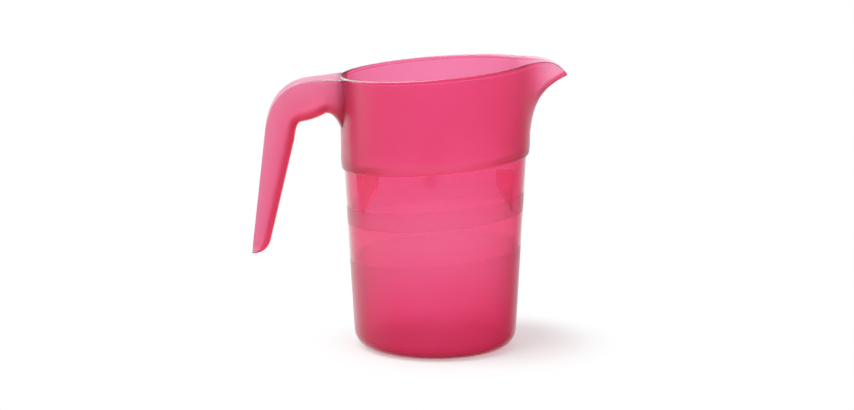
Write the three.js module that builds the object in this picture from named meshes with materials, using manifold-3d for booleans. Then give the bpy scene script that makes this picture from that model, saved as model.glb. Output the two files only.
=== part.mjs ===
// Stackable pitcher: a one-piece translucent moulding with a slanted mouth, a stepped collar,
// a beak spout, a channel handle and a ring of lugs that carry the next pitcher in a stack.
// Millimetres, +Z up, +X towards the spout. The origin is the centre of the base, on the table.
// Heights are measured on the axis: the rim, the step and the bands all slant up to the spout.
import * as THREE from 'three';
import { mergeVertices } from 'three/addons/utils/BufferGeometryUtils.js';
import Module from 'manifold-3d';

// Walls
const wall = 2.4;
const floorThickness = 3;
const footTaper = 7;
const footCorner = 12;
const slantDegrees = 4.45;

// Zones of the wall, from the table up
const footHeight = 67;
const lowerClearHeight = 24.3;
const bandHeight = 12.1;
const upperClearHeight = 25.6;
const collarHeight = 63.8;

// Collar, step and rim
const collarRimRadius = 65;
const collarTaper = 0.4;
const stepDepth = 2.3;
const stepRounding = 5;
const beadHeight = 2.4;
const beadOverhang = 0.5;

// Spout: how far the tip reaches past the collar, and the shape of the pinched lip
const spoutReach = 25.6;
const spoutHalfAngleDegrees = 34;
const spoutHeight = 50;
const spoutTipDrop = 12.9;
const spoutPinchPower = 3;
const spoutDroopPower = 3;
const spoutTipRounding = 0.08;
const spoutNoseLow = { out: 1.8, up: 23 };
const spoutNoseHigh = { out: 11.3, up: 32.5 };

// Handle: out is measured from the collar, drop from the rim above the handle's root
const handleWall = 2.6;
const handleRounding = 9;
const rootWidth = { edge: 44, belly: 24 };
const notchWidth = { edge: 33, belly: 23 };
const armWidth = { edge: 28, belly: 22 };
const legWidth = { edge: 24, belly: 20 };
const tipWidth = { edge: 16, belly: 12 };
const endWidth = { edge: 9, belly: 7 };
const channelRoot = { out: 0, drop: 0.9 };
const channelArmEnd = { out: 18, drop: 2 };
const channelLegStart = { out: 51, drop: 37 };
const channelTip = { out: 60.8, drop: 121.4 };
const bendArmPull = 21;
const bendLegPull = 20;
const underRoot = { out: -3, drop: 44 };
const underCurve = { out: 1.8, drop: 24.4 };
const underNotch = { out: 9.8, drop: 25.2 };
const fingerBumpEnd = { out: 26.5, drop: 31 };
const fingerBumpSag = { out: 17, drop: 29.6 };
const gripTop = { out: 31.2, drop: 43 };
const gripCorner = { out: 30, drop: 31.4 };
const gripEnd = { out: 48.2, drop: 113 };
const tipBow = { out: 50.4, drop: 121.4 };
const tipEnd = { out: 58.6, drop: 122 };

// Stacking lugs
const lugCount = 3;
const lugStartDegrees = 90;
const lugReach = 13;
const lugTopWidth = 10;
const lugTipWidth = 4;
const lugHeight = 27;
const lugKnee = { reach: 12.3, drop: 10 };
const lugFootReach = 0.8;
const lugFootWidth = 8;

// Clearance between features that are cut to fit each other
const seatGap = 0.3;

// Fineness of the facets
const turnSteps = 48;
const arcSteps = 5;
const noseSteps = 9;
const spoutSteps = 20;
const runSteps = 6;

// Values that follow from the sizes above
const slant = Math.tan(THREE.MathUtils.degToRad(slantDegrees));
const spoutHalfAngle = THREE.MathUtils.degToRad(spoutHalfAngleDegrees);
const lugStart = THREE.MathUtils.degToRad(lugStartDegrees);
const bandLow = footHeight + lowerClearHeight;
const bandHigh = bandLow + bandHeight;
const stepLevel = bandHigh + upperClearHeight;
const rimLevel = stepLevel + collarHeight;
const beadLevel = rimLevel - beadHeight;
const spoutFoot = rimLevel - spoutHeight;
const beadRadius = collarRimRadius + beadOverhang;
// The wall narrows from the rim down: a little over the collar, at the step, then to the foot
const collarStepRadius = collarRimRadius - collarTaper;
const shoulderRadius = collarStepRadius - stepDepth;
const footRadius = shoulderRadius - footTaper;
// The frosted foot is as deep as it sits in the pitcher below, so the lugs hold it at this height
const lugTop = rimLevel - footHeight;
const wallGrowth = footTaper / stepLevel;

const wasm = await Module();
wasm.setup();

// A closed surface over a row of matching outlines, with its faces pointing out. A ring of
// outlines meets its own start; any other row gets a cap at each end, laid like the rungs of a ladder.
function skin(outlines, isRing) {
  const corners = [];
  const count = outlines[0].length;
  const spans = isRing ? outlines.length : outlines.length - 1;
  for (let i = 0; i < spans; i += 1) {
    const here = outlines[i];
    const next = outlines[(i + 1) % outlines.length];
    for (let k = 0; k < count; k += 1) {
      const m = (k + 1) % count;
      corners.push(here[k], next[k], next[m], here[k], next[m], here[m]);
    }
  }
  if (!isRing) {
    corners.push(...ladder(outlines[0]), ...ladder(outlines.at(-1)).reverse());
  }
  const loose = new THREE.BufferGeometry().setFromPoints(corners);
  const merged = mergeVertices(loose, 1e-4);
  return facingOut(merged.getAttribute('position').array, merged.index.array);
}

function ladder(outline) {
  const triangles = [];
  const last = outline.length - 1;
  for (let k = 0; k < outline.length / 2 - 1; k += 1) {
    const [a, b, c, d] = [outline[k], outline[k + 1], outline[last - k - 1], outline[last - k]];
    triangles.push(a, b, c, a, c, d);
  }
  return triangles;
}

// Drops triangles that shrank to a line, and turns the surface round if it is inside out
function facingOut(positions, indices) {
  const at = (index) => new THREE.Vector3().fromArray(positions, index * 3);
  const kept = [];
  let volume = 0;
  for (let i = 0; i < indices.length; i += 3) {
    const [a, b, c] = indices.slice(i, i + 3);
    if (a !== b && b !== c && c !== a) {
      kept.push(a, b, c);
      volume += at(a).dot(at(b).cross(at(c)));
    }
  }
  const geometry = new THREE.BufferGeometry();
  geometry.setAttribute('position', new THREE.Float32BufferAttribute(positions, 3));
  geometry.setIndex(volume < 0 ? kept.reverse() : kept);
  return geometry;
}

function solidOf(geometry) {
  return new wasm.Manifold(new wasm.Mesh({
    numProp: 3,
    vertProperties: geometry.getAttribute('position').array,
    triVerts: new Uint32Array(geometry.index.array),
  }));
}

function geometryOf(solid) {
  const mesh = solid.getMesh();
  const geometry = new THREE.BufferGeometry();
  geometry.setAttribute('position', new THREE.Float32BufferAttribute(mesh.vertProperties, 3));
  geometry.setIndex(Array.from(mesh.triVerts));
  return geometry;
}

function cut(geometry, ...cutters) {
  return geometryOf(cutters.reduce((solid, cutter) => solid.subtract(solidOf(cutter)), solidOf(geometry)));
}

// Turns an outline of points round the axis; makeOutline gives it for one angle
function turned(makeOutline) {
  const outlines = [];
  for (let i = 0; i < turnSteps; i += 1) {
    outlines.push(makeOutline((i / turnSteps) * 2 * Math.PI));
  }
  return skin(outlines, true);
}

// A point at a radius and a height on the axis, on a level or a slanted plane
function levelPoint(angle, radius, height) {
  return new THREE.Vector3(radius * Math.cos(angle), radius * Math.sin(angle), height);
}

function slantPoint(angle, radius, height) {
  const point = levelPoint(angle, radius, height);
  point.z += slant * point.x;
  return point;
}

// Where the tapered lower wall meets a slanted plane; inset is the depth below its outer face
function wallPoint(angle, height, inset) {
  const radius = footRadius - inset + wallGrowth * height;
  return slantPoint(angle, radius / (1 - wallGrowth * slant * Math.cos(angle)), height);
}

function wallRadius(height) {
  return footRadius + wallGrowth * height;
}

// A rounded corner between the floor and the wall, from the flat up to the taper
function footArc(angle, radius, floorLevel, inset) {
  const points = [];
  const leave = Math.PI / 2 - Math.atan(wallGrowth);
  const centre = wallRadius(floorLevel + radius) - inset - radius;
  for (let i = 0; i <= arcSteps; i += 1) {
    const turn = (i / arcSteps) * leave;
    const reach = centre + radius * Math.sin(turn);
    points.push(levelPoint(angle, reach, floorLevel + radius * (1 - Math.cos(turn))));
  }
  return points;
}

function baseCup() {
  const innerCorner = Math.max(footCorner - wall, wall);
  return turned((angle) => [
    levelPoint(angle, 0, 0),
    ...footArc(angle, footCorner, 0, 0),
    wallPoint(angle, footHeight, 0),
    wallPoint(angle, footHeight, wall),
    ...footArc(angle, innerCorner, floorThickness, wall).reverse(),
    levelPoint(angle, 0, floorThickness),
  ]);
}

function wallBand(low, high) {
  return turned((angle) => [
    wallPoint(angle, low, 0),
    wallPoint(angle, high, 0),
    wallPoint(angle, high, wall),
    wallPoint(angle, low, wall),
  ]);
}

function collarRadius(height) {
  const share = (height - stepLevel) / collarHeight;
  return THREE.MathUtils.lerp(collarStepRadius, collarRimRadius, share);
}

// The collar swells out of the lower wall in a rounded step and rises to the seat of the bead
function collarRing() {
  return turned((angle) => {
    const outside = [wallPoint(angle, stepLevel, 0)];
    const inside = [wallPoint(angle, stepLevel, wall)];
    for (let i = 1; i <= arcSteps; i += 1) {
      const turn = (i / arcSteps) * (Math.PI / 2);
      const height = stepLevel + stepRounding * (1 - Math.cos(turn));
      const swell = (1 - Math.sin(turn)) * stepDepth;
      outside.push(slantPoint(angle, collarRadius(height) - swell, height));
      inside.push(slantPoint(angle, collarRadius(height) - swell - wall, height + wall / 2));
    }
    outside.push(slantPoint(angle, collarRadius(beadLevel), beadLevel));
    inside.push(slantPoint(angle, collarRadius(beadLevel) - wall, beadLevel));
    return [...outside, ...inside.reverse()];
  });
}

// A wedge of space round the axis, from a slanted plane up, that the spout takes out of the collar
function spoutWindow() {
  const outlines = [];
  const inner = shoulderRadius / 2;
  const outer = collarRimRadius + spoutReach;
  const above = rimLevel + spoutHeight;
  for (let i = 0; i <= spoutSteps; i += 1) {
    const angle = spoutHalfAngle * ((2 * i) / spoutSteps - 1);
    outlines.push([
      slantPoint(angle, inner, spoutFoot),
      slantPoint(angle, outer, spoutFoot),
      slantPoint(angle, outer, above),
      slantPoint(angle, inner, above),
    ]);
  }
  return skin(outlines, false);
}

function collar() {
  return cut(collarRing(), spoutWindow());
}

// The bead caps the collar's edge and stops at both sides of the spout
function rimBead() {
  const outlines = [];
  const outer = beadRadius;
  const inner = collarRimRadius - wall;
  const rounding = beadHeight / 3;
  const start = spoutHalfAngle + seatGap / collarRimRadius;
  for (let i = 0; i <= turnSteps; i += 1) {
    const angle = THREE.MathUtils.lerp(start, 2 * Math.PI - start, i / turnSteps);
    outlines.push([
      slantPoint(angle, inner, beadLevel),
      slantPoint(angle, inner, rimLevel - rounding),
      slantPoint(angle, inner + rounding, rimLevel),
      slantPoint(angle, outer - rounding, rimLevel),
      slantPoint(angle, outer, rimLevel - rounding),
      slantPoint(angle, outer, beadLevel),
    ]);
  }
  return skin(outlines, false);
}

// The spout's middle line on the outside, from the collar out to the tip
function spoutNose() {
  const foot = spoutFoot + seatGap + slant * collarRimRadius;
  const rim = rimLevel + slant * (collarRimRadius + spoutReach);
  const at = (out, height) => new THREE.Vector2(collarRadius(spoutFoot) + out, height);
  return new THREE.CubicBezierCurve(
    at(0, foot),
    at(spoutNoseLow.out, foot + spoutNoseLow.up),
    at(spoutNoseHigh.out, foot + spoutNoseHigh.up),
    at(spoutReach, rim - spoutTipDrop),
  );
}

// Distance from the middle as a share of 1, rounded off where it would come to a point
function rounded(share) {
  const blunt = (value) => Math.hypot(value, spoutTipRounding) - spoutTipRounding;
  return blunt(share) / blunt(1);
}

// Level by level up the spout, outside and back inside, one outline for each angle
function spout() {
  const nose = spoutNose();
  const outlines = [];
  const halfAngle = spoutHalfAngle - seatGap / collarRimRadius;
  for (let i = 0; i <= spoutSteps; i += 1) {
    const side = (2 * i) / spoutSteps - 1;
    // Closer steps near the tip, where the lip is pinched
    const angle = halfAngle * side * Math.abs(side);
    const pinch = (1 - rounded(angle / halfAngle)) ** spoutPinchPower;
    const droop = pinch ** spoutDroopPower;
    const outside = [];
    const inside = [];
    for (let k = 0; k <= noseSteps; k += 1) {
      const share = k / noseSteps;
      const point = nose.getPoint(share);
      const along = nose.getTangent(share);
      const height = THREE.MathUtils.lerp(spoutFoot + seatGap, rimLevel, share);
      const place = (inset) => {
        const ring = collarRadius(height) - inset;
        const noseReach = point.x - inset * along.y;
        const noseHeight = point.y + inset * along.x;
        const radius = THREE.MathUtils.lerp(ring, noseReach, pinch);
        const edge = slantPoint(angle, radius, height);
        edge.z = THREE.MathUtils.lerp(edge.z, noseHeight, droop);
        return edge;
      };
      outside.push(place(0));
      inside.push(place(wall));
    }
    outlines.push([...outside, ...inside.reverse()]);
  }
  return skin(outlines, false);
}

// A point in the handle's middle plane
function handlePoint({ out, drop }) {
  return new THREE.Vector2(-collarRimRadius - out, rimLevel - slant * collarRimRadius - drop);
}

// The channel's edge line and the line under it, run by run, in pairs that share their steps
function handleRuns() {
  const armStart = handlePoint(channelRoot);
  const armEnd = handlePoint(channelArmEnd);
  const legStart = handlePoint(channelLegStart);
  const legEnd = handlePoint(channelTip);
  const armWay = armEnd.clone().sub(armStart).normalize();
  const legWay = legEnd.clone().sub(legStart).normalize();
  const between = (from, to, share) => from.clone().lerp(to, share);
  const notch = handlePoint(underNotch);
  const gripLow = handlePoint(gripEnd);
  const bumpEnd = handlePoint(fingerBumpEnd);
  const rootStart = armStart.clone().addScaledVector(armWay, -handleRounding);
  const underStart = handlePoint({ out: -handleRounding, drop: underRoot.drop });
  const armMiddle = between(armStart, armEnd, underNotch.out / channelArmEnd.out);
  const legLow = between(legStart, legEnd, (gripEnd.drop - channelLegStart.drop)
    / (channelTip.drop - channelLegStart.drop));
  return [
    {
      edge: new THREE.LineCurve(rootStart, armStart),
      under: new THREE.LineCurve(underStart, handlePoint(underRoot)),
      widths: [rootWidth, rootWidth],
    },
    {
      edge: new THREE.LineCurve(armStart, armMiddle),
      under: new THREE.QuadraticBezierCurve(handlePoint(underRoot), handlePoint(underCurve), notch),
      widths: [rootWidth, notchWidth],
    },
    {
      edge: new THREE.LineCurve(armMiddle, armEnd),
      under: new THREE.QuadraticBezierCurve(notch, handlePoint(fingerBumpSag), bumpEnd),
      widths: [notchWidth, armWidth],
    },
    {
      edge: new THREE.CubicBezierCurve(
        armEnd,
        armEnd.clone().addScaledVector(armWay, bendArmPull),
        legStart.clone().addScaledVector(legWay, -bendLegPull),
        legStart,
      ),
      under: new THREE.QuadraticBezierCurve(bumpEnd, handlePoint(gripCorner), handlePoint(gripTop)),
      widths: [armWidth, legWidth],
    },
    {
      edge: new THREE.LineCurve(legStart, legLow),
      under: new THREE.LineCurve(handlePoint(gripTop), gripLow),
      widths: [legWidth, tipWidth],
    },
    {
      edge: new THREE.LineCurve(legLow, legEnd),
      under: new THREE.QuadraticBezierCurve(gripLow, handlePoint(tipBow), handlePoint(tipEnd)),
      widths: [tipWidth, endWidth],
    },
  ];
}

// One cross-section: down one side from the channel's edge, round the belly and up the other side.
// lift carries it out past the edge.
function handleSection({ edge, under, width }, rounding, lift) {
  const inward = under.clone().sub(edge);
  const depth = inward.length();
  inward.normalize();
  const radius = Math.min(rounding, depth / 2, width.belly / 2);
  const halfAt = (along) => THREE.MathUtils.lerp(width.edge, width.belly, along / depth) / 2;
  const place = (along, across) => {
    const point = edge.clone().addScaledVector(inward, along);
    return new THREE.Vector3(point.x, across, point.y);
  };
  const side = [place(-lift, halfAt(-lift))];
  for (let i = 0; i <= arcSteps; i += 1) {
    const turn = (i / arcSteps) * (Math.PI / 2);
    const along = depth - radius * (1 - Math.sin(turn));
    side.push(place(along, halfAt(along) - radius * (1 - Math.cos(turn))));
  }
  const otherSide = side.map((point) => new THREE.Vector3(point.x, -point.y, point.z));
  return [...side, ...otherSide.reverse()];
}

// The handle's cross-sections from the root to the tip, shrunk by an inset for the hollow inside
function handleStations(inset) {
  const stations = [];
  handleRuns().forEach(({ edge, under, widths: [from, to] }, run) => {
    for (let i = run === 0 ? 0 : 1; i <= runSteps; i += 1) {
      const share = i / runSteps;
      const along = under.getTangent(share);
      const inside = new THREE.Vector2(along.y, -along.x);
      stations.push({
        edge: edge.getPoint(share),
        under: under.getPoint(share).addScaledVector(inside, inset),
        width: {
          edge: THREE.MathUtils.lerp(from.edge, to.edge, share) - 2 * inset,
          belly: THREE.MathUtils.lerp(from.belly, to.belly, share) - 2 * inset,
        },
      });
    }
  });
  return stations;
}

// The space that the collar or the bead fills, with the clearance that the handle leaves round it
function plug(radius, low, high) {
  return turned((angle) => [
    slantPoint(angle, 0, low),
    slantPoint(angle, radius + seatGap, low),
    slantPoint(angle, radius + seatGap, high),
    slantPoint(angle, 0, high),
  ]);
}

function handle() {
  const deepEnough = ({ edge, under }) => edge.distanceTo(under) > handleWall;
  const hollow = handleStations(handleWall).filter(deepEnough);
  const body = skin(handleStations(0).map((station) => handleSection(station, handleRounding, 0)), false);
  const channel = skin(
    hollow.map((station) => handleSection(station, handleRounding - handleWall, handleWall)),
    false,
  );
  return cut(
    body,
    channel,
    plug(collarRimRadius, 0, rimLevel + beadHeight),
    plug(beadRadius, beadLevel - seatGap, rimLevel + beadHeight),
  );
}

// A lug: a wedge on the inner wall with a level top. Its inner edge drops steeply to a knee and runs
// from there back to the wall below.
function stackingLug(angle) {
  const section = (height, widthAtWall, reach) => {
    const bore = wallRadius(height) - wall - seatGap;
    const root = Math.sqrt(bore * bore - (widthAtWall * widthAtWall) / 4);
    const tip = root - reach;
    return [[root, -widthAtWall], [tip, -lugTipWidth], [tip, lugTipWidth], [root, widthAtWall]].map(
      ([radius, width]) => new THREE.Vector3(radius, width / 2, height),
    );
  };
  const kneeWidth = THREE.MathUtils.lerp(lugTopWidth, lugFootWidth, lugKnee.drop / lugHeight);
  const wedge = skin([
    section(lugTop - lugHeight, lugFootWidth, lugFootReach),
    section(lugTop - lugKnee.drop, kneeWidth, lugKnee.reach),
    section(lugTop, lugTopWidth, lugReach),
  ], false);
  return wedge.rotateZ(angle);
}

// Finishes of the one plastic
const frosted = new THREE.MeshStandardMaterial({ color: 0xe0487c, roughness: 0.5, metalness: 0 });
const clear = new THREE.MeshStandardMaterial({ color: 0xee608c, roughness: 0.15, metalness: 0 });

const pitcher = new THREE.Group();

function add(name, geometry, material) {
  const mesh = new THREE.Mesh(geometry, material);
  mesh.name = name;
  pitcher.add(mesh);
}

add('base_cup', baseCup(), frosted);
add('lower_clear_band', wallBand(footHeight, bandLow), clear);
add('frosted_band', wallBand(bandLow, bandHigh), frosted);
add('upper_clear_band', wallBand(bandHigh, stepLevel), clear);
add('collar', collar(), frosted);
add('rim_bead', rimBead(), frosted);
add('spout', spout(), frosted);
add('handle', handle(), frosted);
for (let i = 0; i < lugCount; i += 1) {
  const angle = lugStart + (i / lugCount) * 2 * Math.PI;
  add(`stacking_lug_${i + 1}`, stackingLug(angle), clear);
}

export default pitcher;
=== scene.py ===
"""Looks of the stackable pitcher: a translucent moulding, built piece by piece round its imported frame.

Metres, +Z up, +X towards the spout. Heights are measured on the axis of the vessel. The rim, the step
and the bands slant up towards the spout.
"""
import math
from types import SimpleNamespace

import bmesh
import bpy
from bpy.props import FloatProperty, FloatVectorProperty, IntProperty, PointerProperty
from mathutils import Matrix, Vector


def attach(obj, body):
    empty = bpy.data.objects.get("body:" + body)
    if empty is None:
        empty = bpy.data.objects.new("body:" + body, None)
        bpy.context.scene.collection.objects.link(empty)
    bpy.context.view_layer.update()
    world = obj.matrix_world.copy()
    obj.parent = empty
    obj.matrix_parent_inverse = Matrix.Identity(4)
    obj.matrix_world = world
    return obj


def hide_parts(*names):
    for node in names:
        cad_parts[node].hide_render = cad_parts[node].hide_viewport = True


bl_info = {
    "name": "Stackable pitcher",
    "version": (1, 0, 0),
    "blender": (4, 5, 0),
    "location": "3D View > Sidebar > Pitcher",
    "description": "Builds a translucent stackable pitcher and the stage it stands on",
    "category": "Object",
}

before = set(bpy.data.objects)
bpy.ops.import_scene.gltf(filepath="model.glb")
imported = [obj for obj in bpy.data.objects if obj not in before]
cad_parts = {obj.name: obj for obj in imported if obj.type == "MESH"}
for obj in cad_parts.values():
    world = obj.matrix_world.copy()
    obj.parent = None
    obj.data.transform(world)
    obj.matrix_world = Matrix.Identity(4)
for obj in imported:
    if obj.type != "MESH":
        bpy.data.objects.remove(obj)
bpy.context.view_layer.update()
MM = 0.001

# Fineness of the turned walls, the roundings, the handle's runs and the beak
TURN_STEPS = 180
RIM_STEPS = 360
ROUND_STEPS = 6
EDGE_STEPS = 3
LUG_ROUND_STEPS = 2
RUN_STEPS = 8
SPOUT_RINGS = 22

# Share of a curve on either side of a point that gives the direction there
CURVE_STEP = 0.001

# Angles from which an edge is shaded as sharp, and from which an edge of the handle is rounded
SHARP_ANGLE = math.radians(35)
BEVEL_ANGLE = math.radians(55)

# Hairline that touching pieces keep between their faces, and how close two points are one point
HAIRLINE = 0.02 * MM
MERGE_DISTANCE = 0.001 * MM

# Largest share of a side that a rounding of the handle takes, and how many wall thicknesses a section
# of the handle measures from edge to belly before it has its full wall
ROUND_SHARE = 0.48
WALL_ROOM = 3

# How deep the wall's tint is at heights in millimetres, from the table up and from the step up. The deep
# tint near the table is painted shade, and the pale stop at the step is a painted highlight
FOOT_PAINTED_SHADE = ((20, 0.85), (40, 0.4), (80, 0), (100, 0.28))
STEP_PAINTED_HIGHLIGHT = ((-1, 0.5), (0, 0), (4, 0.2), (9, 0.69))

# Noise of the slow drift of the tint and of the fine grain of a skin
DRIFT_NOISE = {"Scale": 28.0, "Detail": 3.0, "Roughness": 0.55}
GRAIN_NOISE = {"Scale": 1400.0, "Detail": 2.0, "Roughness": 0.6}

# How directly a reflection faces a light where the light's edge begins and where it is full
WIDE_LIGHT = (0.5, 0.95)
NARROW_LIGHT = (0.75, 0.98)


def length(name, description, millimetres):
    """A size in metres, written in millimetres."""
    return FloatProperty(
        name=name, description=description, default=millimetres * MM, precision=5,
        subtype="DISTANCE", unit="LENGTH",
    )


def pair(name, description, first, second):
    """Two lengths that belong together, written in millimetres."""
    return FloatVectorProperty(
        name=name, description=description, size=2, default=(first * MM, second * MM), precision=5,
        unit="LENGTH",
    )


def angle(name, description, degrees):
    """An angle, written in degrees."""
    return FloatProperty(
        name=name, description=description, default=math.radians(degrees), subtype="ANGLE", unit="ROTATION",
    )


def share(name, description, value):
    """A part of a whole, from 0 to 1."""
    return FloatProperty(name=name, description=description, default=value, min=0, max=1, subtype="FACTOR")


def number(name, description, value):
    """A plain number that isn't negative."""
    return FloatProperty(name=name, description=description, default=value, min=0)


def direction(name, description, value):
    """A direction in space."""
    return FloatVectorProperty(
        name=name, description=description, size=3, default=value, subtype="DIRECTION",
    )


def colour(name, description, value):
    """A colour in linear red, green and blue."""
    return FloatVectorProperty(
        name=name, description=description, size=3, default=value, min=0, max=1, subtype="COLOR",
    )


class VesselSizes(bpy.types.PropertyGroup):
    """Walls, zones, collar and rim."""

    wall: length("Wall", "Thickness of the moulded wall", 2.4)
    floor: length("Floor", "Thickness of the floor", 3)
    foot_taper: length("Foot taper", "How much narrower the wall is at the table than at the step", 7)
    foot_corner: length("Foot corner", "Radius of the rounded foot", 12)
    slant: angle("Slant", "Slope of the rim, the step and the bands", 4.45)
    foot_height: length("Foot height", "Height of the frosted foot", 67)
    lower_clear: length("Lower clear zone", "Height of the clear zone above the foot", 24.3)
    band: length("Band", "Height of the frosted stripe", 12.1)
    upper_clear: length("Upper clear zone", "Height of the clear zone under the step", 25.6)
    collar: length("Collar", "Height from the step to the rim", 63.8)
    rim_radius: length("Rim radius", "Radius of the collar at the rim", 65)
    collar_taper: length("Collar taper", "How much narrower the collar is at the step", 0.4)
    step_depth: length("Step depth", "How far the collar stands out over the wall", 2.3)
    step_rounding: length("Step rounding", "Height of the collar's rounded lower edge", 5)
    bead_height: length("Bead height", "Height of the bead round the mouth", 2.4)
    bead_overhang: length("Bead overhang", "How far the bead stands out over the collar", 0.5)
    bead_rounding: length("Bead rounding", "Rounding of the bead's edges", 1.1)


class SpoutSizes(bpy.types.PropertyGroup):
    """The beak and its middle line."""

    reach: length("Reach", "How far the tip reaches past the collar", 25.6)
    half_angle: angle("Half angle", "Half of the arc that the spout takes from the collar", 34)
    height: length("Height", "Height of the spout's side", 50)
    tip_drop: length("Tip drop", "How far the tip droops below the line of the rim", 12.9)
    pinch_power: number("Pinch", "How sharply the sides are pinched towards the tip", 3)
    droop_power: number("Droop", "How sharply the droop gathers at the tip", 3)
    tip_rounding: share("Tip rounding", "Share of the half angle that rounds the tip", 0.08)
    nose_low: pair("Nose, low", "Out and up of the lower handle of the middle line", 1.8, 23)
    nose_high: pair("Nose, high", "Out and up of the upper handle of the middle line", 11.3, 32.5)


class HandleSizes(bpy.types.PropertyGroup):
    """The channel handle. A point is its way out from the collar and its drop below the rim there."""

    wall: pair("Wall", "Thickness at the channel's edges and at the belly", 1.7, 3.2)
    rounding: length("Rounding", "Rounding of the finger side", 9)
    edge_rounding: length("Edge rounding", "Rounding of the channel's edges", 0.7)
    bend_arm: length("Bend, arm", "How long the arm keeps its direction in the bend", 21)
    bend_leg: length("Bend, leg", "How long the leg keeps its direction in the bend", 20)
    root_width: pair("Root width", "Width at the edge and at the belly", 44, 24)
    notch_width: pair("Notch width", "Width at the edge and at the belly", 33, 23)
    arm_width: pair("Arm width", "Width at the edge and at the belly", 28, 22)
    leg_width: pair("Leg width", "Width at the edge and at the belly", 24, 20)
    tip_width: pair("Tip width", "Width at the edge and at the belly", 16, 12)
    end_width: pair("End width", "Width at the edge and at the belly", 9, 7)
    edge_root: pair("Edge, root", "Out and drop", 0, 0.9)
    edge_arm: pair("Edge, arm", "Out and drop", 18, 2)
    edge_leg: pair("Edge, leg", "Out and drop", 51, 37)
    edge_tip: pair("Edge, tip", "Out and drop", 60.8, 121.4)
    under_root: pair("Under, root", "Out and drop", -3, 44)
    under_curve: pair("Under, curve", "Out and drop", 1.8, 24.4)
    under_notch: pair("Under, notch", "Out and drop", 9.8, 25.2)
    bump_sag: pair("Bump, sag", "Out and drop", 17, 29.6)
    bump_end: pair("Bump, end", "Out and drop", 26.5, 31)
    grip_corner: pair("Grip, corner", "Out and drop", 30, 31.4)
    grip_top: pair("Grip, top", "Out and drop", 31.2, 43)
    grip_end: pair("Grip, end", "Out and drop", 48.2, 113)
    tip_bow: pair("Tip, bow", "Out and drop", 50.4, 121.4)
    tip_end: pair("Tip, end", "Out and drop", 58.6, 122)


class LugSizes(bpy.types.PropertyGroup):
    """The wedges that carry the next pitcher."""

    count: IntProperty(name="Count", description="How many lugs stand round the wall", default=3, min=1)
    start: angle("Start", "Bearing of the first lug from the spout", 90)
    reach: length("Reach", "How far a lug stands out from the wall", 13)
    top_width: length("Top width", "Width on the wall at the top", 10)
    tip_width: length("Tip width", "Width of the inner edge", 4)
    height: length("Height", "Height of a lug", 27)
    knee: pair("Knee", "Reach and drop of the bend in the inner edge", 12.3, 10)
    foot_reach: length("Foot reach", "How far the foot stands out from the wall", 0.8)
    foot_width: length("Foot width", "Width on the wall at the foot", 8)
    rounding: length("Rounding", "Rounding of the edges", 0.5)


class PlasticLook(bpy.types.PropertyGroup):
    """Tint, painted shade, painted highlight and finishes of the one plastic."""

    # The deep tints are painted shade where they show near the table and at the handle's joint with the
    # collar; on the collar the deep tint is the plastic's own
    tint: colour("Tint", "Extra tint of a wall where it is thinnest", (1, 0.82, 0.89))
    deep_tint_and_shade: colour("Deep tint", "Extra tint of a wall where it is thickest", (0.97, 0.4, 0.66))
    handle_tint: colour("Thin tint", "Extra tint of the handle where it is thinnest", (1, 0.9, 0.94))
    handle_root_shade: colour("Deep thin tint", "Extra tint of the handle at its thick root", (0.66, 0.4, 0.57))
    lug_tint: colour("Lug tint", "Extra tint of a lug where it is palest", (1, 1, 1))
    lug_deep: colour("Deep lug tint", "Extra tint of a lug where it is deepest", (0.99, 0.96, 0.97))
    depth_tint: colour("Depth tint", "Colour that the light keeps on its way through", (0.995, 0.092, 0.45))
    density: number("Density", "How strongly the way through deepens the colour", 363)
    lug_density: number("Lug density", "The same for the lugs, which are lighter inside", 100)
    # Reach of the painted shade at the handle's root, and of the painted highlight towards the beak
    painted_light_reach: length("Root length", "How far the thick root of the handle reaches", 6)
    bending: number("Bending", "Index of refraction", 1.49)
    lug_bending: number("Lug bending", "Index of refraction that the lugs appear to have", 1.2)
    clarity: share("Clarity", "Share of the light that goes through", 0.97)
    frosted_rough: share("Frosted roughness", "Roughness of the frosted zones", 0.3)
    clear_rough: share("Clear roughness", "Roughness of the clear zones", 0.14)
    lug_rough: share("Lug roughness", "Roughness of the lugs", 0.15)
    satin_rough: share("Satin roughness", "Roughness of the handle", 0.38)
    bead_rough: share("Bead roughness", "Roughness of the bead round the mouth", 0.16)
    bead_blend: length("Bead blend", "Height in which the bead's finish begins", 1)
    frosted_grain: share("Frosted grain", "How strongly the grain shows on the frosted zones", 0.15)
    clear_grain: share("Clear grain", "How strongly the grain shows on the clear zones and the lugs", 0.05)
    satin_grain: share("Satin grain", "How strongly the grain shows on the handle", 0.1)
    grain_height: length("Grain height", "Height of the grain", 0.05)
    unevenness: share("Unevenness", "How much the grain varies the roughness", 0.15)
    drift: share("Drift", "How much the tint drifts", 0.15)


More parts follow.
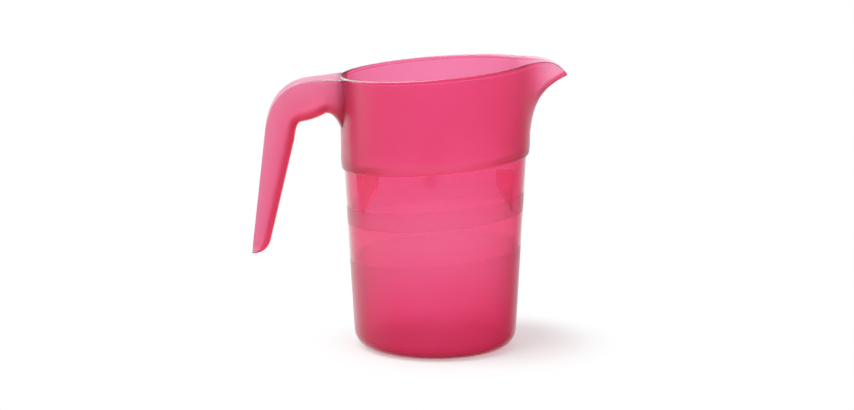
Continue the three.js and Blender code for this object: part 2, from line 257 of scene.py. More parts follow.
class StageLook(bpy.types.PropertyGroup):
    """Floor, lamps and camera."""

    floor_colour: colour("Floor", "Colour of the floor", (0.9, 0.9, 0.9))
    floor_glow: share("Floor glow", "Share of plain white in what shows of the floor beside the foot", 0.36)
    shadow_middle: FloatVectorProperty(
        name="Shadow middle", description="Where the shadow on the floor is strongest", size=3,
        default=(0.02, 0, 0), subtype="TRANSLATION", unit="LENGTH",
    )
    shadow_reach: pair("Shadow reach", "Where the shadow starts to fade and where it ends", 58, 112)
    floor_size: length("Floor size", "Half the side of the floor", 500)
    floor_shift: length("Floor shift", "How far behind the pitcher the middle of the floor lies", 200)
    world_light: number("World light", "Strength of the light from all round", 0.7)
    dim_side: number("Dim side", "Strength of the studio's dim sides in reflections", 0.12)
    sweep: number("Sweep", "Strength of the white sweep behind in reflections", 1.25)
    sweep_side: direction("Sweep side", "Direction of the white sweep", (-0.2, 0.97, -0.1))
    sweep_rise: angle("Sweep rise", "How far the white sweep rises above the horizon", 0)
    sweep_blur: angle("Sweep blur", "How softly the white sweep ends", 4.6)
    softbox: number("Softbox", "Strength of the softbox high at the left in reflections", 5)
    softbox_side: direction("Softbox side", "Direction of the high softbox", (-0.62, 0.4, 0.68))
    low_softbox: number("Low softbox", "Strength of the softbox low at the left in reflections", 0.5)
    low_softbox_side: direction("Low softbox side", "Direction of the low softbox", (-0.97, 0.2, -0.15))
    key_light: number("Key", "Strength of the key light", 1.8)
    key_spread: angle("Key spread", "How wide the key light is, which softens its shadow", 45)
    key_place: FloatVectorProperty(
        name="Key place", description="Where the key light comes from", size=3, default=(-0.75, -0.45, 1.5),
        subtype="TRANSLATION", unit="LENGTH",
    )
    camera_place: FloatVectorProperty(
        name="Camera", description="Where the camera stands", size=3, default=(-0.00576, -1.588, 0.3867),
        subtype="TRANSLATION", unit="LENGTH",
    )
    turn: angle("Turn", "How far the whole studio is turned round the pitcher", -3)
    camera_pitch: angle("Pitch", "How far the camera looks down", 10.3132)
    camera_lens: FloatProperty(name="Lens", description="Focal length", default=99, unit="CAMERA")


class PitcherSettings(bpy.types.PropertyGroup):
    """All that a user may change."""

    vessel: PointerProperty(type=VesselSizes)
    spout: PointerProperty(type=SpoutSizes)
    handle: PointerProperty(type=HandleSizes)
    lugs: PointerProperty(type=LugSizes)
    plastic: PointerProperty(type=PlasticLook)
    stage: PointerProperty(type=StageLook)


def settings():
    """All sizes and looks."""
    return bpy.context.scene.pitcher


def levels():
    """Heights on the axis, radii and slopes that follow from the sizes."""
    vessel = settings().vessel
    band_low = vessel.foot_height + vessel.lower_clear
    band_high = band_low + vessel.band
    step = band_high + vessel.upper_clear
    rim = step + vessel.collar
    step_radius = vessel.rim_radius - vessel.collar_taper
    shoulder = step_radius - vessel.step_depth
    foot_radius = shoulder - vessel.foot_taper
    return SimpleNamespace(
        band_low=band_low,
        band_high=band_high,
        step=step,
        rim=rim,
        bead=rim - vessel.bead_height,
        spout=rim - settings().spout.height,
        slope=math.tan(vessel.slant),
        step_radius=step_radius,
        shoulder=shoulder,
        foot_radius=foot_radius,
        growth=vessel.foot_taper / step,
    )


def wall_radius(height):
    """Outer radius of the tapered wall at a height."""
    at = levels()
    return at.foot_radius + at.growth * height


def collar_radius(height):
    """Outer radius of the collar at a height."""
    at = levels()
    vessel = settings().vessel
    return at.step_radius + vessel.collar_taper * (height - at.step) / vessel.collar


def on_curve(points, way):
    """The point at a share of the way along a Bezier curve of any number of points."""
    while len(points) > 1:
        points = [a.lerp(b, way) for a, b in zip(points, points[1:])]
    return points[0]


def along_curve(points, way):
    """The direction of the curve at that point."""
    near = on_curve(points, max(way - CURVE_STEP, 0))
    far = on_curve(points, min(way + CURVE_STEP, 1))
    return (far - near).normalized()


def draw_corners(bm, corners, closed):
    """Draws a row of corners as edges, each given as a place and a rounding, and rounds them off."""
    verts = [bm.verts.new(place) for place, _ in corners]
    ends = verts[1:] + verts[:1] if closed else verts[1:]
    for a, b in zip(verts, ends):
        bm.edges.new((a, b))
    for vert, (_, rounding) in zip(verts, corners):
        if rounding:
            bmesh.ops.bevel(
                bm, geom=[vert], offset=rounding, offset_type="OFFSET", affect="VERTICES",
                segments=ROUND_STEPS, profile=0.5, material=-1, clamp_overlap=True,
            )


def section(radius, height, rounding=0):
    """A corner of an outline that is turned round the axis."""
    return Vector((radius, 0, height)), rounding


def spin_round(bm, steps):
    """Turns what is drawn all round the axis."""
    bmesh.ops.spin(
        bm, geom=bm.verts[:] + bm.edges[:], cent=(0, 0, 0), axis=(0, 0, 1), dvec=(0, 0, 0),
        angle=math.tau, steps=steps, use_merge=True, use_duplicate=False,
    )
    bmesh.ops.remove_doubles(bm, verts=bm.verts[:], dist=MERGE_DISTANCE)
    bmesh.ops.recalc_face_normals(bm, faces=bm.faces[:])


def slant(bm, verts):
    """Slants these points up towards the spout."""
    shear = Matrix.Identity(4)
    shear[2][0] = levels().slope
    bmesh.ops.transform(bm, matrix=shear, verts=verts)


def object_from(bm, name):
    """A new object with this mesh, smooth apart from its sharp edges."""
    mesh = bpy.data.meshes.new(name)
    bm.to_mesh(mesh)
    bm.free()
    mesh.shade_smooth()
    mesh.set_sharp_from_angle(angle=SHARP_ANGLE)
    piece = bpy.data.objects.new(name, mesh)
    bpy.context.scene.collection.objects.link(piece)
    return piece


def fit_piece(piece, skin, *nodes):
    """Gives a piece its skin and puts it in the place of its nodes."""
    piece.data.materials.append(plastic(skin))
    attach(piece, "root")
    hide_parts(*nodes)


def apply_modifiers(piece):
    """Makes a piece's modifiers part of its mesh."""
    bpy.context.view_layer.update()
    graph = bpy.context.evaluated_depsgraph_get()
    mesh = bpy.data.meshes.new_from_object(piece.evaluated_get(graph))
    if not mesh.polygons:
        raise RuntimeError(f"{piece.name} has no faces left")
    piece.modifiers.clear()
    piece.vertex_groups.clear()
    piece.data = mesh
    mesh.shade_smooth()
    mesh.set_sharp_from_angle(angle=SHARP_ANGLE)


def add_node(tree, kind, place, **values):
    """A shader node with some of its inputs and settings set."""
    node = tree.nodes.new(kind)
    node.location = place
    for name, value in values.items():
        if hasattr(node, name):
            setattr(node, name, value)
        else:
            node.inputs[name.replace("_", " ")].default_value = value
    return node


def combined(tree, place, operation, first, second, clamp=False):
    """The output of a maths node that joins two values."""
    node = add_node(tree, "ShaderNodeMath", place, operation=operation, use_clamp=clamp)
    tree.links.new(first, node.inputs[0])
    tree.links.new(second, node.inputs[1])
    return node.outputs[0]


def mapped(tree, place, value, source, target=(0, 1), interpolation="LINEAR"):
    """The output of a node that maps a value from one range to another."""
    node = add_node(tree, "ShaderNodeMapRange", place, interpolation_type=interpolation)
    node.inputs["From Min"].default_value, node.inputs["From Max"].default_value = source
    node.inputs["To Min"].default_value, node.inputs["To Max"].default_value = target
    tree.links.new(value, node.inputs["Value"])
    return node.outputs["Result"]


def shown(tree, path, place):
    """1 for rays that look at something, straight or through the plastic, and 0 for other light."""
    rays = path.outputs
    return combined(tree, place, "MAXIMUM", rays["Is Camera Ray"], rays["Is Transmission Ray"])


def emptied(owner):
    """The node tree of a material or a world, without its nodes."""
    owner.use_nodes = True
    owner.node_tree.nodes.clear()
    return owner.node_tree


def skin_look(skin):
    """The tint, the deep tint that also carries painted shade, roughness, grain, density and bending of a
    skin of the plastic.
    """
    look = settings().plastic
    inside = (look.density, look.bending)
    inside_lug = (look.lug_density, look.lug_bending)
    return {
        "frosted_skin": (look.tint, look.deep_tint_and_shade, look.frosted_rough, look.frosted_grain, *inside),
        "clear_skin": (look.tint, look.deep_tint_and_shade, look.clear_rough, look.clear_grain, *inside),
        "satin_skin": (look.handle_tint, look.handle_root_shade, look.satin_rough, look.satin_grain, *inside),
        "lug_skin": (look.lug_tint, look.lug_deep, look.lug_rough, look.clear_grain, *inside_lug),
    }[skin]


def root_painted_shade(tree, across):
    """Painted shade on the handle: its tint deepens towards the joint with the collar, as shade in the
    crease there.
    """
    half_width = sum(settings().handle.root_width) / 4
    joint = math.sqrt(settings().vessel.rim_radius ** 2 - half_width ** 2)
    root = (-joint - settings().plastic.painted_light_reach, -joint)
    return mapped(tree, (-500, 450), across, root, interpolation="SMOOTHSTEP")


def wall_tint_and_painted_light(tree, across, level):
    """How deep a wall's tint is: deeper towards the table, a painted shade; paler at the middle of its
    height; and paler at the step and towards the beak and the collar's right side, painted highlights.
    """
    vessel = settings().vessel
    at = levels()
    height = mapped(tree, (-700, 450), level, (0, at.rim))
    by_height = add_node(tree, "ShaderNodeValToRGB", (-500, 550))
    shades = by_height.color_ramp.elements
    shades.remove(shades[1])
    for start, rows in ((0, FOOT_PAINTED_SHADE), (at.step, STEP_PAINTED_HIGHLIGHT)):
        for rise, value in rows:
            shades.new((start + rise * MM) / at.rim).color = (value, value, value, 1)
    shades[0].color = (1, 1, 1, 1)
    tree.links.new(height, by_height.inputs["Fac"])
    # Paler towards the beak and on the collar's right side: a painted highlight
    beak_start = vessel.rim_radius - settings().plastic.painted_light_reach
    beak_middle = vessel.rim_radius + settings().spout.reach / 2
    beak = mapped(tree, (-500, 300), across, (beak_start, beak_middle), (1, 0))
    return combined(tree, (-350, 450), "MULTIPLY", by_height.outputs["Color"], beak)


def plastic(skin):
    """The tinted plastic with one of its skins."""
    made = bpy.data.materials.get(skin)
    if made:
        return made
    look = settings().plastic
    at = levels()
    pale, deep, rough, grain_depth, density, bending = skin_look(skin)
    material = bpy.data.materials.new(skin)
    tree = emptied(material)
    link = tree.links.new
    where = add_node(tree, "ShaderNodeTexCoord", (-1100, 0))
    place = add_node(tree, "ShaderNodeSeparateXYZ", (-1100, 450))
    link(where.outputs["Object"], place.inputs[0])
    across = place.outputs["X"]
    level = add_node(tree, "ShaderNodeMath", (-900, 450), operation="MULTIPLY_ADD")
    level.inputs[1].default_value = -at.slope
    link(across, level.inputs[0])
    link(place.outputs["Z"], level.inputs[2])

    # The tint varies along the piece and carries painted shade and painted highlight, and a slow drift lies
    # over it
    if skin == "satin_skin":
        tint_with_painted_light = root_painted_shade(tree, across)
    else:
        tint_with_painted_light = wall_tint_and_painted_light(tree, across, level.outputs[0])
    drift = add_node(tree, "ShaderNodeTexNoise", (-900, 150), **DRIFT_NOISE)
    link(where.outputs["Object"], drift.inputs["Vector"])
    drifted = mapped(tree, (-500, 150), drift.outputs["Fac"], (0, 1), (-look.drift, look.drift))
    tint = add_node(tree, "ShaderNodeMix", (-100, 400), data_type="RGBA")
    tint.inputs[6].default_value = (*pale, 1)
    tint.inputs[7].default_value = (*deep, 1)
    link(combined(tree, (-250, 400), "ADD", tint_with_painted_light, drifted, clamp=True), tint.inputs[0])

    # Fine grain of the skin, which is smoother on the bead
    grain = add_node(tree, "ShaderNodeTexNoise", (-900, -100), **GRAIN_NOISE)
    link(where.outputs["Object"], grain.inputs["Vector"])
    spread = (1 - look.unevenness, 1 + look.unevenness)
    uneven = mapped(tree, (-500, -100), grain.outputs["Fac"], (0, 1), spread)
    bead = (at.bead - look.bead_blend, at.bead)
    polish = mapped(tree, (-500, 0), level.outputs[0], bead, (rough, min(rough, look.bead_rough)))
    finish = combined(tree, (-250, -50), "MULTIPLY", polish, uneven)
    bump = add_node(
        tree, "ShaderNodeBump", (-500, -350), Strength=grain_depth, Distance=look.grain_height,
    )
    link(grain.outputs["Fac"], bump.inputs["Height"])

    # Most of the colour comes from the way through the plastic
    surface = add_node(
        tree, "ShaderNodeBsdfPrincipled", (150, 200), IOR=bending, Transmission_Weight=look.clarity,
    )
    link(tint.outputs[2], surface.inputs["Base Color"])
    link(finish, surface.inputs["Roughness"])
    link(bump.outputs["Normal"], surface.inputs["Normal"])
    depth = add_node(
        tree, "ShaderNodeVolumeAbsorption", (150, -250), Color=(*look.depth_tint, 1), Density=density,
    )
    out = add_node(tree, "ShaderNodeOutputMaterial", (500, 200))
    link(surface.outputs["BSDF"], out.inputs["Surface"])
    link(depth.outputs["Volume"], out.inputs["Volume"])
    return material


def in_studio(place):
    """A place or a direction in the studio, turned with it round the pitcher."""
    return Matrix.Rotation(settings().stage.turn, 3, "Z") @ Vector(place)


def floor_material():
    """A pale floor that keeps the shadow near the foot and shows as plain white farther out."""
    look = settings().stage
    material = bpy.data.materials.new("floor")
    tree = emptied(material)
    link = tree.links.new
    matte = add_node(tree, "ShaderNodeBsdfDiffuse", (0, 0), Color=(*look.floor_colour, 1))
    white = add_node(tree, "ShaderNodeEmission", (0, -150), Color=(1, 1, 1, 1), Strength=1.0)
    where = add_node(tree, "ShaderNodeTexCoord", (-700, 100))
    away = add_node(tree, "ShaderNodeVectorMath", (-500, 100), operation="DISTANCE")
    link(where.outputs["Object"], away.inputs[0])
    away.inputs[1].default_value = in_studio(look.shadow_middle)
    share_of_white = (look.floor_glow, 1)
    fade = mapped(
        tree, (-300, 100), away.outputs["Value"], look.shadow_reach, share_of_white, "SMOOTHSTEP",
    )
    path = add_node(tree, "ShaderNodeLightPath", (-500, 400))
    glow = combined(tree, (50, 300), "MULTIPLY", shown(tree, path, (-300, 400)), fade)
    both = add_node(tree, "ShaderNodeMixShader", (250, 0))
    link(glow, both.inputs[0])
    link(matte.outputs["BSDF"], both.inputs[1])
    link(white.outputs["Emission"], both.inputs[2])
    out = add_node(tree, "ShaderNodeOutputMaterial", (450, 0))
    link(both.outputs["Shader"], out.inputs["Surface"])
    return material


def studio_world():
    """Plain white to look at, even light all round, and a studio of its own for reflections."""
    look = settings().stage
    world = bpy.data.worlds.new("studio")
    tree = emptied(world)
    link = tree.links.new
    path = add_node(tree, "ShaderNodeLightPath", (-600, 200))

    # Reflections show a white sweep that ends at the horizon, two softboxes and a dim room
    where = add_node(tree, "ShaderNodeTexCoord", (-1000, -200))
    height = add_node(tree, "ShaderNodeSeparateXYZ", (-800, 0))
    link(where.outputs["Generated"], height.inputs[0])
    fade = (math.sin(look.sweep_rise + look.sweep_blur), math.sin(look.sweep_rise - look.sweep_blur))
    studio = mapped(tree, (-600, 0), height.outputs["Z"], fade, interpolation="SMOOTHSTEP")
    for place, operation, side, width, glow in (
        (-200, "MULTIPLY", look.sweep_side, WIDE_LIGHT, look.sweep),
        (-450, "MAXIMUM", look.softbox_side, WIDE_LIGHT, look.softbox),
        (-700, "MAXIMUM", look.low_softbox_side, NARROW_LIGHT, look.low_softbox),
    ):
        facing = add_node(tree, "ShaderNodeVectorMath", (-800, place), operation="DOT_PRODUCT")
        link(where.outputs["Generated"], facing.inputs[0])
        facing.inputs[1].default_value = in_studio(side)
        mirrored = mapped(tree, (-600, place), facing.outputs["Value"], width, (look.dim_side, glow))
        studio = combined(tree, (-400, place), operation, studio, mirrored)
    around = add_node(tree, "ShaderNodeMix", (-200, 0))
    around.inputs[2].default_value = look.world_light
    link(path.outputs["Is Glossy Ray"], around.inputs[0])
    link(studio, around.inputs[3])
    strength = add_node(tree, "ShaderNodeMix", (0, 0))
    strength.inputs[3].default_value = 1
    link(shown(tree, path, (-400, 300)), strength.inputs[0])
    link(around.outputs[0], strength.inputs[2])
    light = add_node(tree, "ShaderNodeBackground", (200, 0), Color=(1, 1, 1, 1))
    link(strength.outputs[0], light.inputs["Strength"])
    out = add_node(tree, "ShaderNodeOutputWorld", (400, 0))
    link(light.outputs["Background"], out.inputs["Surface"])
    return world


class PITCHER_OT_stage(bpy.types.Operator):
    """Sets up the floor, the light and the camera"""

    bl_idname = "pitcher.stage"
    bl_label = "Stage"

    def execute(self, context):
        look = settings().stage
        scene = context.scene
        scene.view_settings.view_transform = "Standard"

        bm = bmesh.new()
        bmesh.ops.create_grid(bm, x_segments=1, y_segments=1, size=look.floor_size)
        bmesh.ops.translate(bm, vec=(0, look.floor_shift, 0), verts=bm.verts[:])
        floor = object_from(bm, "floor")
        floor.data.materials.append(floor_material())
        floor.visible_glossy = False

        scene.world = studio_world()

        key = bpy.data.lights.new("key", "SUN")
        key.energy = look.key_light
        key.angle = look.key_spread
        lamp = bpy.data.objects.new("key", key)
        lamp.location = in_studio(look.key_place)
        lamp.rotation_euler = lamp.location.to_track_quat("Z", "Y").to_euler()
        scene.collection.objects.link(lamp)

        view = bpy.data.cameras.new("camera")
        view.lens = look.camera_lens
        camera = bpy.data.objects.new("camera", view)
        camera.location = in_studio(look.camera_place)
        camera.rotation_euler = (math.pi / 2 - look.camera_pitch, 0, look.turn)
        scene.collection.objects.link(camera)
        scene.camera = camera
        return {"FINISHED"}


class PITCHER_OT_base_cup(bpy.types.Operator):
    """Turns the floor, the rounded foot and the frosted lowest zone of the wall"""

    bl_idname = "pitcher.base_cup"
    bl_label = "Base cup"

    def execute(self, context):
        vessel = settings().vessel
        at = levels()
        top = vessel.foot_height - HAIRLINE
        half_turn = (math.pi / 2 - math.atan(at.growth)) / 2
        outer = vessel.foot_corner * math.tan(half_turn)
        inner = (vessel.foot_corner - vessel.wall) * math.tan(half_turn)
        bm = bmesh.new()
        draw_corners(bm, [
            section(0, 0),
            section(wall_radius(0), 0, outer),
            section(wall_radius(top), top),
            section(wall_radius(top) - vessel.wall, top),
            section(wall_radius(vessel.floor) - vessel.wall, vessel.floor, inner),
            section(0, vessel.floor),
        ], closed=False)
        spin_round(bm, TURN_STEPS)
        slant(bm, [vert for vert in bm.verts if vert.co.z > vessel.foot_height / 2])
        fit_piece(object_from(bm, "foot_cup"), "frosted_skin", "base_cup")
        return {"FINISHED"}


class PITCHER_OT_wall_zones(bpy.types.Operator):
    """Turns the two clear zones of the wall and the frosted band between them"""

    bl_idname = "pitcher.wall_zones"
    bl_label = "Wall zones"

    def execute(self, context):
        vessel = settings().vessel
        at = levels()
        zones = (
            ("lower_clear_wall", "lower_clear_band", vessel.foot_height, at.band_low, "clear_skin"),
            ("frosted_stripe", "frosted_band", at.band_low, at.band_high, "frosted_skin"),
            ("upper_clear_wall", "upper_clear_band", at.band_high, at.step, "clear_skin"),
        )
        for name, node, low, high, skin in zones:
            top = high - HAIRLINE
            bm = bmesh.new()
            draw_corners(bm, [
                section(wall_radius(low), low),
                section(wall_radius(top), top),
                section(wall_radius(top) - vessel.wall, top),
                section(wall_radius(low) - vessel.wall, low),
            ], closed=True)
            spin_round(bm, TURN_STEPS)
            slant(bm, bm.verts[:])
            fit_piece(object_from(bm, name), skin, node)
        return {"FINISHED"}


class PITCHER_OT_collar(bpy.types.Operator):
    """Turns the wider upper wall with its step and its bead, and pulls the beak out of it"""

    bl_idname = "pitcher.collar"
    bl_label = "Collar, rim and spout"

    def execute(self, context):
        vessel = settings().vessel
        at = levels()
        wall = vessel.wall
        swell = vessel.step_depth
        low = at.step + vessel.step_rounding
        inner = vessel.rim_radius - wall
        outer = vessel.rim_radius + vessel.bead_overhang
        bm = bmesh.new()
        draw_corners(bm, [
            section(at.shoulder, at.step),
            section(at.step_radius - swell / 3, at.step, swell / 2),
            section(collar_radius(low), low, vessel.step_rounding / 2),
            section(collar_radius(at.spout), at.spout),
            section(collar_radius(at.bead), at.bead, vessel.bead_overhang / 2),
            section(outer, at.bead, vessel.bead_overhang / 2),
            section(outer, at.rim, vessel.bead_rounding),
            section(inner, at.rim, vessel.bead_rounding),
            section(collar_radius(at.spout) - wall, at.spout),
            section(collar_radius(low) - wall, low + wall / 2, vessel.step_rounding / 3),
            section(at.shoulder - wall, at.step + wall / 2, wall / 3),
            section(at.shoulder - wall, at.step),
        ], closed=True)
        sides = [edge for edge in bm.edges if edge.calc_length() > settings().spout.height / 2]
        bmesh.ops.subdivide_edges(bm, edges=sides, cuts=SPOUT_RINGS)
        spin_round(bm, RIM_STEPS)
        beak = [vert for vert in bm.verts if vert.co.z > at.spout and self.pinch(vert.co) > 0]
        places = [self.pulled(vert.co) for vert in beak]
        slant(bm, bm.verts[:])
        for vert, place in zip(beak, places):
            vert.co = place
        bmesh.ops.recalc_face_normals(bm, faces=bm.faces[:])
        fit_piece(object_from(bm, "collar_wall"), "frosted_skin", "collar", "rim_bead", "spout")
        return {"FINISHED"}

    def nose(self):
        """The middle line of the beak's outside, as distance from the axis and height."""
        vessel = settings().vessel
        sizes = settings().spout
        at = levels()
        base = Vector((collar_radius(at.spout), at.spout + at.slope * vessel.rim_radius))
        tip_height = at.rim + at.slope * (vessel.rim_radius + sizes.reach) - sizes.tip_drop
        return [
            base,
            base + Vector(sizes.nose_low),
            base + Vector(sizes.nose_high),
            Vector((base.x + sizes.reach, tip_height)),
        ]

    def pinch(self, place):
        """How far the beak is pulled out at this bearing: 1 at the tip, 0 at its sides."""
        sizes = settings().spout
        blunt = sizes.tip_rounding
        off = abs(math.atan2(place.y, place.x)) / sizes.half_angle
        round_off = (math.hypot(off, blunt) - blunt) / (math.hypot(1, blunt) - blunt)
        return max(1 - round_off, 0) ** sizes.pinch_power

    def pulled(self, place):
        """Where a point of the plain collar goes in the beak, whose bead dies out towards the tip."""
        at = levels()
        pinch = self.pinch(place)
        droop = pinch ** settings().spout.droop_power
        bearing = math.atan2(place.y, place.x)
        inset = collar_radius(place.z) - place.xy.length
        if inset < 0:
            inset *= 1 - pinch
        radius = collar_radius(place.z) - inset
        nose = self.nose()
        way = (place.z - at.spout) / (at.rim - at.spout)
        point = on_curve(nose, way)
        heading = along_curve(nose, way)
        reach = radius + (point.x - inset * heading.y - radius) * pinch
        height = place.z + at.slope * reach * math.cos(bearing)
        height += (point.y + inset * heading.x - height) * droop
        return Vector((reach * math.cos(bearing), reach * math.sin(bearing), height))


class PITCHER_OT_handle(bpy.types.Operator):
    """Lofts the channel handle along its edge and its finger side"""

    bl_idname = "pitcher.handle"
    bl_label = "Handle"

    def execute(self, context):
        sizes = settings().handle
        thin, full = sizes.wall
        bm = bmesh.new()
        wall_layer = bm.verts.layers.float.new("wall")
        before = None
        for edge, under, width in self.stations():
            known = set(bm.verts)
            self.draw_section(bm, edge, under, width)
            fresh = [vert for vert in bm.verts if vert not in known]
            inward = under - edge
            room = min(1, inward.length / (WALL_ROOM * full))
            for vert in fresh:
                way = (vert.co.xz - edge).dot(inward) / max(inward.length_squared, MM * MM)
                vert[wall_layer] = room * (thin + (full - thin) * way) / full
            chain = [line for line in bm.edges if line.verts[0] in fresh and line.verts[1] in fresh]
            if before:
                bmesh.ops.bridge_loops(bm, edges=before + chain)
            before = chain
        bmesh.ops.contextual_create(bm, geom=before)
        bmesh.ops.remove_doubles(bm, verts=bm.verts[:], dist=MERGE_DISTANCE)
        bmesh.ops.recalc_face_normals(bm, faces=bm.faces[:])
        lowest = min(bm.faces, key=lambda face: face.calc_center_median().z)
        if lowest.normal.z > 0:
            bmesh.ops.reverse_faces(bm, faces=bm.faces[:])
        shares = [vert[wall_layer] for vert in bm.verts]
        piece = object_from(bm, "channel_handle")

        # The wall thins towards the channel's edges, and towards the closed tip, which has less room
        group = piece.vertex_groups.new(name="wall")
        for index, thickness in enumerate(shares):
            group.add([index], thickness, "REPLACE")
        wall = piece.modifiers.new("wall", "SOLIDIFY")
        wall.thickness = full
        wall.offset = -1
        wall.use_even_offset = True
        wall.use_rim = True
        wall.vertex_group = group.name
        rounded = piece.modifiers.new("edges", "BEVEL")
        rounded.width = sizes.edge_rounding
        rounded.segments = EDGE_STEPS
        rounded.limit_method = "ANGLE"
        rounded.angle_limit = BEVEL_ANGLE
        plug = self.collar_plug()
        fit = piece.modifiers.new("root", "BOOLEAN")
        fit.operation = "DIFFERENCE"
        fit.solver = "EXACT"
        fit.use_self = True
        fit.object = plug
        apply_modifiers(piece)
        bpy.data.objects.remove(plug)
        fit_piece(piece, "satin_skin", "handle")
        return {"FINISHED"}

    def place(self, point):
        """A point in the middle plane, as x and z."""
        vessel = settings().vessel
        at = levels()
        out, drop = point
        return Vector((-vessel.rim_radius - out, at.rim - at.slope * vessel.rim_radius - drop))

    def stations(self):
        """The channel's edge, the finger side opposite it and the widths there, from root to tip."""
        sizes = settings().handle
        arm_start = self.place(sizes.edge_root)
        arm_end = self.place(sizes.edge_arm)
        leg_start = self.place(sizes.edge_leg)
        leg_end = self.place(sizes.edge_tip)
        arm_way = (arm_end - arm_start).normalized()
        leg_way = (leg_end - leg_start).normalized()
        arm_middle = arm_start.lerp(arm_end, sizes.under_notch[0] / sizes.edge_arm[0])
        grip_drop = sizes.grip_end[1] - sizes.edge_leg[1]
        leg_low = leg_start.lerp(leg_end, grip_drop / (sizes.edge_tip[1] - sizes.edge_leg[1]))
        root = self.place(sizes.under_root)
        notch = self.place(sizes.under_notch)
        bump_end = self.place(sizes.bump_end)
        grip_top = self.place(sizes.grip_top)
        grip_end = self.place(sizes.grip_end)
        inward = Vector((sizes.rounding, 0))
        bend = [
            arm_end,
            arm_end + arm_way * sizes.bend_arm,
            leg_start - leg_way * sizes.bend_leg,
            leg_start,
        ]
        runs = [
            ([arm_start + inward, arm_start], [root + inward, root], sizes.root_width, sizes.root_width),
            ([arm_start, arm_middle], [root, self.place(sizes.under_curve), notch],
             sizes.root_width, sizes.notch_width),
            ([arm_middle, arm_end], [notch, self.place(sizes.bump_sag), bump_end],
             sizes.notch_width, sizes.arm_width),
            (bend, [bump_end, self.place(sizes.grip_corner), grip_top], sizes.arm_width, sizes.leg_width),
            ([leg_start, leg_low], [grip_top, grip_end], sizes.leg_width, sizes.tip_width),
            ([leg_low, leg_end], [grip_end, self.place(sizes.tip_bow), self.place(sizes.tip_end)],
             sizes.tip_width, sizes.end_width),
        ]
        for index, (edge, under, first, last) in enumerate(runs):
            for step in range(0 if index == 0 else 1, RUN_STEPS + 1):
                way = step / RUN_STEPS
                yield on_curve(edge, way), on_curve(under, way), Vector(first).lerp(Vector(last), way)

    def draw_section(self, bm, edge, under, width):
        """One cross-section: down one side from the channel's edge, round the belly and up the other."""
        narrowest = min((under - edge).length, width[1])
        rounding = min(settings().handle.rounding, ROUND_SHARE * narrowest)
        top, belly = width / 2
        draw_corners(bm, [
            (Vector((edge.x, top, edge.y)), 0),
            (Vector((under.x, belly, under.y)), rounding),
            (Vector((under.x, -belly, under.y)), rounding),
            (Vector((edge.x, -top, edge.y)), 0),
        ], closed=False)

    def collar_plug(self):
        """The space of the collar and its bead, which the handle's root is cut to fit."""
        vessel = settings().vessel
        at = levels()
        collar = vessel.rim_radius + HAIRLINE
        bead = collar + vessel.bead_overhang
        under_bead = at.bead - HAIRLINE
        high = at.rim + vessel.bead_height
        low = at.step - vessel.collar
        bm = bmesh.new()
        draw_corners(bm, [
            section(0, low),
            section(collar, low),
            section(collar, under_bead),
            section(bead, under_bead),
            section(bead, high),
            section(0, high),
        ], closed=False)
        spin_round(bm, TURN_STEPS)
        slant(bm, bm.verts[:])
        return object_from(bm, "collar_plug")


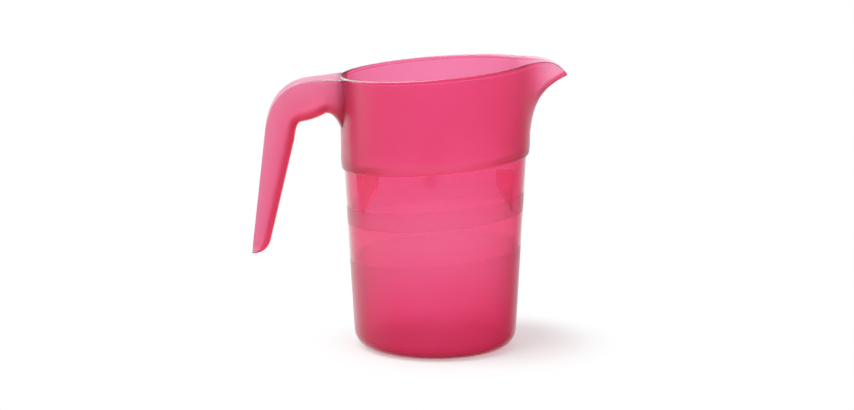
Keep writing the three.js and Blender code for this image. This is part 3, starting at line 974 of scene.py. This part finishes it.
class PITCHER_OT_lugs(bpy.types.Operator):
    """Sets the stacking lugs round the inner wall, under the step"""

    bl_idname = "pitcher.lugs"
    bl_label = "Stacking lugs"

    def execute(self, context):
        vessel = settings().vessel
        sizes = settings().lugs
        at = levels()
        # The frosted foot of the next pitcher sits on the lugs, down to its upper edge
        top = at.rim - vessel.foot_height
        knee_reach, knee_drop = sizes.knee
        knee_width = sizes.top_width + (sizes.foot_width - sizes.top_width) * knee_drop / sizes.height
        for index in range(sizes.count):
            bm = bmesh.new()
            foot = self.draw_end(bm, top - sizes.height, sizes.foot_width, sizes.foot_reach)
            knee = self.draw_end(bm, top - knee_drop, knee_width, knee_reach)
            head = self.draw_end(bm, top, sizes.top_width, sizes.reach)
            bmesh.ops.bridge_loops(bm, edges=foot + knee)
            bmesh.ops.bridge_loops(bm, edges=knee + head)
            for end in (foot, head):
                bmesh.ops.contextual_create(bm, geom=end)
            bmesh.ops.recalc_face_normals(bm, faces=bm.faces[:])
            bmesh.ops.bevel(
                bm, geom=bm.edges[:], offset=sizes.rounding, offset_type="OFFSET", affect="EDGES",
                segments=LUG_ROUND_STEPS, profile=0.5, material=-1, clamp_overlap=True,
            )
            bearing = sizes.start + index / sizes.count * math.tau
            rotation = Matrix.Rotation(bearing, 3, "Z")
            bmesh.ops.rotate(bm, cent=(0, 0, 0), matrix=rotation, verts=bm.verts[:])
            lug = object_from(bm, f"wall_lug_{index + 1}")
            fit_piece(lug, "lug_skin", f"stacking_lug_{index + 1}")
        return {"FINISHED"}

    def draw_end(self, bm, height, width, reach):
        """The outline of a lug at a height, on the wall's inside."""
        bore = wall_radius(height) - settings().vessel.wall - HAIRLINE
        root = math.sqrt(bore * bore - width * width / 4)
        tip = root - reach
        narrow = settings().lugs.tip_width
        known = set(bm.edges)
        draw_corners(bm, [
            (Vector((root, -width / 2, height)), 0),
            (Vector((tip, -narrow / 2, height)), 0),
            (Vector((tip, narrow / 2, height)), 0),
            (Vector((root, width / 2, height)), 0),
        ], closed=True)
        return [edge for edge in bm.edges if edge not in known]


OPERATORS = (
    PITCHER_OT_stage,
    PITCHER_OT_base_cup,
    PITCHER_OT_wall_zones,
    PITCHER_OT_collar,
    PITCHER_OT_handle,
    PITCHER_OT_lugs,
)


class PITCHER_PT_pieces(bpy.types.Panel):
    """Lists the stage and the pieces of the pitcher"""

    bl_idname = "PITCHER_PT_pieces"
    bl_label = "Stackable pitcher"
    bl_space_type = "VIEW_3D"
    bl_region_type = "UI"
    bl_category = "Pitcher"

    def draw(self, context):
        for step in OPERATORS:
            self.layout.operator(step.bl_idname)


CLASSES = (
    VesselSizes,
    SpoutSizes,
    HandleSizes,
    LugSizes,
    PlasticLook,
    StageLook,
    PitcherSettings,
    *OPERATORS,
    PITCHER_PT_pieces,
)


def register():
    for cls in CLASSES:
        bpy.utils.register_class(cls)
    bpy.types.Scene.pitcher = PointerProperty(type=PitcherSettings)


def unregister():
    del bpy.types.Scene.pitcher
    for cls in reversed(CLASSES):
        bpy.utils.unregister_class(cls)


def main():
    register()
    bpy.ops.pitcher.stage()
    bpy.ops.pitcher.base_cup()
    bpy.ops.pitcher.wall_zones()
    bpy.ops.pitcher.collar()
    bpy.ops.pitcher.handle()
    bpy.ops.pitcher.lugs()


if __name__ == "__main__":
    main()
